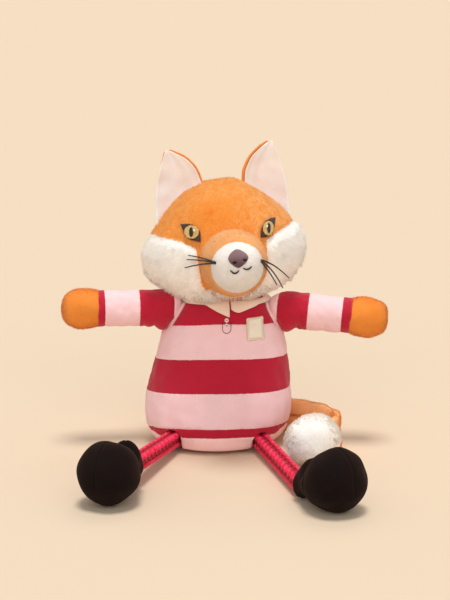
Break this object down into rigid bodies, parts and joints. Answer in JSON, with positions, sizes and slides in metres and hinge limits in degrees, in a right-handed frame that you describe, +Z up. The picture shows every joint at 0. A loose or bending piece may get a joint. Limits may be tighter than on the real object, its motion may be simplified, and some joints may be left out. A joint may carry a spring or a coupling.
{
  "type": "plush fox",
  "caption": "Stuffed toy fox in a striped shirt, sitting, with jointed head, ears, arms, rope legs, boots and a curled tail.",
  "frame": {"origin": "middle of the flat seat under the body, on the floor it sits on", "axes": "+Z up, the body faces -Y, the viewer's right of the toy is +X"},
  "size_m": [0.262, 0.2526, 0.2456],
  "materials": {
    "red_knit": "brushed velour knit, crimson",
    "pink_knit": "brushed velour knit, pale pink",
    "orange_plush": "short plush pile",
    "cream_pile": "long soft pile",
    "cream_velour": "short velour",
    "pale_lining": "short velour",
    "nose_velour": "short velour",
    "brown_thread": "satin stitch",
    "gold_thread": "satin stitch",
    "black_thread": "thread",
    "black_velour": "short velour",
    "rope": "braided cord",
    "plastic": "pearl and plain moulded",
    "stuffing": "loose fibre fill"
  },
  "bodies": {
    "torso": {"shirt_front": "red_knit", "shirt_back": "red_knit", "base_panel": "pink_knit", "body_filling": "stuffing", "squeaker": "plastic", "collar_left": "cream_velour", "collar_right": "cream_velour", "button_upper": "plastic", "button_lower": "plastic", "placket_stitching": "black_thread", "chest_patch": "cream_velour"},
    "neck": {"neck_plug": "stuffing"},
    "head": {"head_cover": "orange_plush", "cheek_left": "cream_pile", "cheek_right": "cream_pile", "head_filling": "stuffing", "muzzle_band": "orange_plush", "muzzle_tip": "cream_velour", "muzzle_filling": "stuffing", "nose": "nose_velour", "mouth_stitch_left": "black_thread", "mouth_stitch_right": "black_thread", "whisker_left_upper": "black_thread", "whisker_left_middle": "black_thread", "whisker_left_lower": "black_thread", "whisker_right_upper": "black_thread", "whisker_right_middle": "black_thread", "whisker_right_lower": "black_thread", "eye_outline_left": "brown_thread", "eye_outline_right": "brown_thread", "iris_left": "gold_thread", "iris_right": "gold_thread", "pupil_left": "black_thread", "pupil_right": "black_thread"},
    "ear_left": {"ear_back_left": "orange_plush", "ear_lining_left": "pale_lining"},
    "ear_right": {"ear_back_right": "orange_plush", "ear_lining_right": "pale_lining"},
    "arm_left": {"sleeve_left": "red_knit", "paw_left": "orange_plush", "arm_filling_left": "stuffing"},
    "arm_right": {"sleeve_right": "red_knit", "paw_right": "orange_plush", "arm_filling_right": "stuffing"},
    "leg_left": {"rope_leg_left": "rope"},
    "leg_right": {"rope_leg_right": "rope"},
    "foot_left": {"boot_left": "black_velour", "boot_filling_left": "stuffing"},
    "foot_right": {"boot_right": "black_velour", "boot_filling_right": "stuffing"},
    "tail": {"tail_band": "orange_plush", "tail_tip": "cream_pile"}
  },
  "joints": [
    {"name": "neck_turn", "type": "hinge", "parent": "torso", "child": "neck", "pos_m": [0.00494, 0.0095, 0.1265], "axis": [0, 0, 1], "range_deg": [-20, 20], "stiffness_Nm_per_rad": 0.15},
    {"name": "head_nod", "type": "hinge", "parent": "neck", "child": "head", "pos_m": [0.00494, 0.0095, 0.1265], "axis": [1, 0, 0], "range_deg": [-12, 0], "stiffness_Nm_per_rad": 0.25},
    {"name": "ear_left_fold", "type": "hinge", "parent": "head", "child": "ear_left", "pos_m": [-0.0344, 0.00956, 0.19773], "axis": [-0.7031, -0.1782, -0.6884], "range_deg": [0, 20], "stiffness_Nm_per_rad": 0.01},
    {"name": "ear_right_fold", "type": "hinge", "parent": "head", "child": "ear_right", "pos_m": [0.03557, 0.02054, 0.20266], "axis": [-0.7719, -0.048, 0.634], "range_deg": [0, 20], "stiffness_Nm_per_rad": 0.01},
    {"name": "shoulder_left", "type": "hinge", "parent": "torso", "child": "arm_left", "pos_m": [-0.04605, 0.00186, 0.1115], "axis": [0, 1, 0], "range_deg": [-20, 25], "stiffness_Nm_per_rad": 0.12},
    {"name": "shoulder_right", "type": "hinge", "parent": "torso", "child": "arm_right", "pos_m": [0.05395, 0.00186, 0.1115], "axis": [0, -1, 0], "range_deg": [-20, 25], "stiffness_Nm_per_rad": 0.12},
    {"name": "hip_left", "type": "hinge", "parent": "torso", "child": "leg_left", "pos_m": [-0.032, -0.014, 0.0092], "axis": [0.9548, -0.2974, 0], "range_deg": [-15, 70]},
    {"name": "hip_right", "type": "hinge", "parent": "torso", "child": "leg_right", "pos_m": [0.032, -0.032, 0.0092], "axis": [0.9728, 0.2317, 0], "range_deg": [-15, 70]},
    {"name": "ankle_left", "type": "hinge", "parent": "leg_left", "child": "foot_left", "pos_m": [-0.06683, -0.12583, 0.0185], "axis": [0.9143, -0.4051, 0], "range_deg": [-15, 15], "stiffness_Nm_per_rad": 0.05},
    {"name": "ankle_right", "type": "hinge", "parent": "leg_right", "child": "foot_right", "pos_m": [0.05923, -0.1463, 0.0095], "axis": [0.829, 0.5592, 0], "range_deg": [-15, 15], "stiffness_Nm_per_rad": 0.05},
    {"name": "tail_swing", "type": "hinge", "parent": "torso", "child": "tail", "pos_m": [0.053, 0.0205, 0.0155], "axis": [0, 0, 1], "range_deg": [0, 22]}
  ]
}
